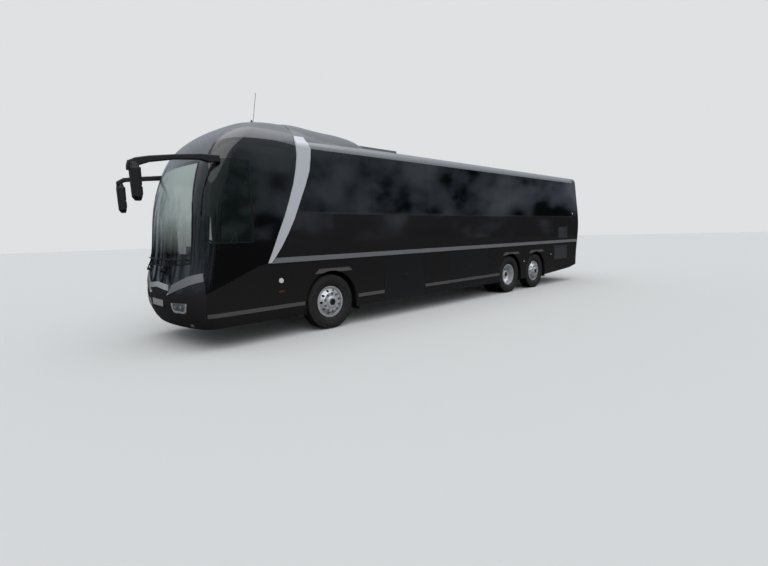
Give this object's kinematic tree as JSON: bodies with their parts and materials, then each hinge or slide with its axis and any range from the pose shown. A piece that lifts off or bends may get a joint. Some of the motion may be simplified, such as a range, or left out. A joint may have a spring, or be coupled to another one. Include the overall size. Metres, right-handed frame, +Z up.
{
  "type": "coach bus",
  "caption": "Touring coach with a domed roof front, raked curved windscreen, tag axle, steered front wheels, swinging doors, lifting luggage flaps and engine lid.",
  "frame": {"origin": "On the ground, on the centreline, midway between the tail and the tip of the left mirror", "axes": "+X is forward, +Y is the left (driver's) side, +Z is up"},
  "size_m": [14.4163, 2.75, 4.4181],
  "materials": {
    "body_paint": "gloss graphite paint",
    "flap_paint": "gloss graphite paint, a shade bluer",
    "gloss_black": "gloss black",
    "clear_glass": "clear, slightly green",
    "dark_glass": "dark tinted",
    "silver_paint": "satin silver",
    "satin_trim": "satin",
    "black_plastic": "grained black",
    "lamp_lens": "clear lens",
    "floor_sheet": "grey floor covering",
    "frame_steel": "black chassis paint",
    "engine_iron": "as cast",
    "dash_plastic": "soft dark grey",
    "seat_fabric": "dark blue-grey cloth",
    "tyre_rubber": "matt",
    "wheel_alloy": "polished"
  },
  "bodies": {
    "coach_body": {"antenna": "black_plastic", "belt_panels": "body_paint", "blades": "silver_paint", "bright_trims": "satin_trim", "cab_floor": "floor_sheet", "cab_sides": "gloss_black", "dashboard": "dash_plastic", "driver_seat": "seat_fabric", "driver_window": "clear_glass", "engine_block": "engine_iron", "floor_panel": "floor_sheet", "front_axle": "frame_steel", "front_bumper": "body_paint", "front_frame": "gloss_black", "hold_walls": "floor_sheet", "lamps": "lamp_lens", "mirrors": "black_plastic", "passenger_seats": "seat_fabric", "quarter_panels": "body_paint", "rear_axles": "frame_steel", "rear_wall": "body_paint", "roof_dome": "body_paint", "roof_fairing": "body_paint", "roof_panel": "body_paint", "roof_unit": "body_paint", "saloon_glass": "dark_glass", "side_grilles": "black_plastic", "skirt_panels": "body_paint", "steering_wheel": "black_plastic", "steps": "floor_sheet", "underframe": "frame_steel", "wheel_housings": "frame_steel", "window_frames": "body_paint", "windscreen": "clear_glass"},
    "knuckle_left": {"knuckle_left": "frame_steel"},
    "knuckle_right": {"knuckle_right": "frame_steel"},
    "door_front_arm": {"door_front_arm": "frame_steel"},
    "door_front": {"door_front": "gloss_black", "door_front_glass": "clear_glass"},
    "door_mid_arm": {"door_mid_arm": "frame_steel"},
    "door_mid": {"door_mid": "body_paint", "door_mid_glass": "dark_glass"},
    "flap_fore_left": {"flap_fore_left": "flap_paint"},
    "flap_fore_right": {"flap_fore_right": "flap_paint"},
    "flap_aft_left": {"flap_aft_left": "flap_paint"},
    "flap_aft_right": {"flap_aft_right": "flap_paint"},
    "engine_lid": {"engine_lid": "body_paint"},
    "wheel_front_left": {"rim_front_left": "wheel_alloy", "tyre_front_left": "tyre_rubber"},
    "wheel_front_right": {"rim_front_right": "wheel_alloy", "tyre_front_right": "tyre_rubber"},
    "wheel_drive_left": {"rim_drive_left": "wheel_alloy", "tyre_drive_left": "tyre_rubber"},
    "wheel_drive_right": {"rim_drive_right": "wheel_alloy", "tyre_drive_right": "tyre_rubber"},
    "wheel_tag_left": {"rim_tag_left": "wheel_alloy", "tyre_tag_left": "tyre_rubber"},
    "wheel_tag_right": {"rim_tag_right": "wheel_alloy", "tyre_tag_right": "tyre_rubber"}
  },
  "joints": [
    {"name": "steer_left", "type": "hinge", "parent": "coach_body", "child": "knuckle_left", "pos_m": [3.8775, 0.93, 0.522], "axis": [0, 0, 1], "range_deg": [-42, 42]},
    {"name": "steer_right", "type": "hinge", "parent": "coach_body", "child": "knuckle_right", "pos_m": [3.8775, -0.93, 0.522], "axis": [0, 0, 1], "range_deg": [-42, 42]},
    {"name": "roll_front_left", "type": "hinge", "parent": "knuckle_left", "child": "wheel_front_left", "pos_m": [3.8775, 1.0925, 0.522], "axis": [0, 1, 0], "continuous": true},
    {"name": "roll_front_right", "type": "hinge", "parent": "knuckle_right", "child": "wheel_front_right", "pos_m": [3.8775, -1.0925, 0.522], "axis": [0, 1, 0], "continuous": true},
    {"name": "roll_drive_left", "type": "hinge", "parent": "coach_body", "child": "wheel_drive_left", "pos_m": [-2.5125, 1.0925, 0.522], "axis": [0, 1, 0], "continuous": true},
    {"name": "roll_drive_right", "type": "hinge", "parent": "coach_body", "child": "wheel_drive_right", "pos_m": [-2.5125, -1.0925, 0.522], "axis": [0, 1, 0], "continuous": true},
    {"name": "roll_tag_left", "type": "hinge", "parent": "coach_body", "child": "wheel_tag_left", "pos_m": [-3.9825, 1.0925, 0.522], "axis": [0, 1, 0], "continuous": true},
    {"name": "roll_tag_right", "type": "hinge", "parent": "coach_body", "child": "wheel_tag_right", "pos_m": [-3.9825, -1.0925, 0.522], "axis": [0, 1, 0], "continuous": true},
    {"name": "door_front_swing", "type": "hinge", "parent": "coach_body", "child": "door_front_arm", "pos_m": [5.8225, -1.16, 0.7], "axis": [0, 0, 1], "range_deg": [0, 150]},
    {"name": "door_front_level", "type": "hinge", "parent": "door_front_arm", "child": "door_front", "pos_m": [5.3225, -1.16, 0.7], "axis": [0, 0, 1], "range_deg": [-150, 0]},
    {"name": "door_mid_swing", "type": "hinge", "parent": "coach_body", "child": "door_mid_arm", "pos_m": [0.3625, -1.16, 0.7], "axis": [0, 0, -1], "range_deg": [0, 150]},
    {"name": "door_mid_level", "type": "hinge", "parent": "door_mid_arm", "child": "door_mid", "pos_m": [0.8625, -1.16, 0.7], "axis": [0, 0, -1], "range_deg": [-150, 0]},
    {"name": "flap_fore_left_lift", "type": "hinge", "parent": "coach_body", "child": "flap_fore_left", "pos_m": [1.8575, 1.275, 1.324], "axis": [1, 0, 0], "range_deg": [0, 85]},
    {"name": "flap_fore_right_lift", "type": "hinge", "parent": "coach_body", "child": "flap_fore_right", "pos_m": [1.8575, -1.275, 1.324], "axis": [-1, 0, 0], "range_deg": [0, 85]},
    {"name": "flap_aft_left_lift", "type": "hinge", "parent": "coach_body", "child": "flap_aft_left", "pos_m": [-0.5625, 1.275, 1.324], "axis": [1, 0, 0], "range_deg": [0, 85]},
    {"name": "flap_aft_right_lift", "type": "hinge", "parent": "coach_body", "child": "flap_aft_right", "pos_m": [-1.0425, -1.275, 1.324], "axis": [-1, 0, 0], "range_deg": [0, 85]},
    {"name": "engine_lid_lift", "type": "hinge", "parent": "coach_body", "child": "engine_lid", "pos_m": [-7.2025, 0, 1.886], "axis": [0, 1, 0], "range_deg": [0, 75]}
  ],
  "couplings": [
    {"joint": "steer_right", "follows": "steer_left", "ratio": 1},
    {"joint": "door_front_level", "follows": "door_front_swing", "ratio": -1},
    {"joint": "door_mid_level", "follows": "door_mid_swing", "ratio": -1}
  ]
}
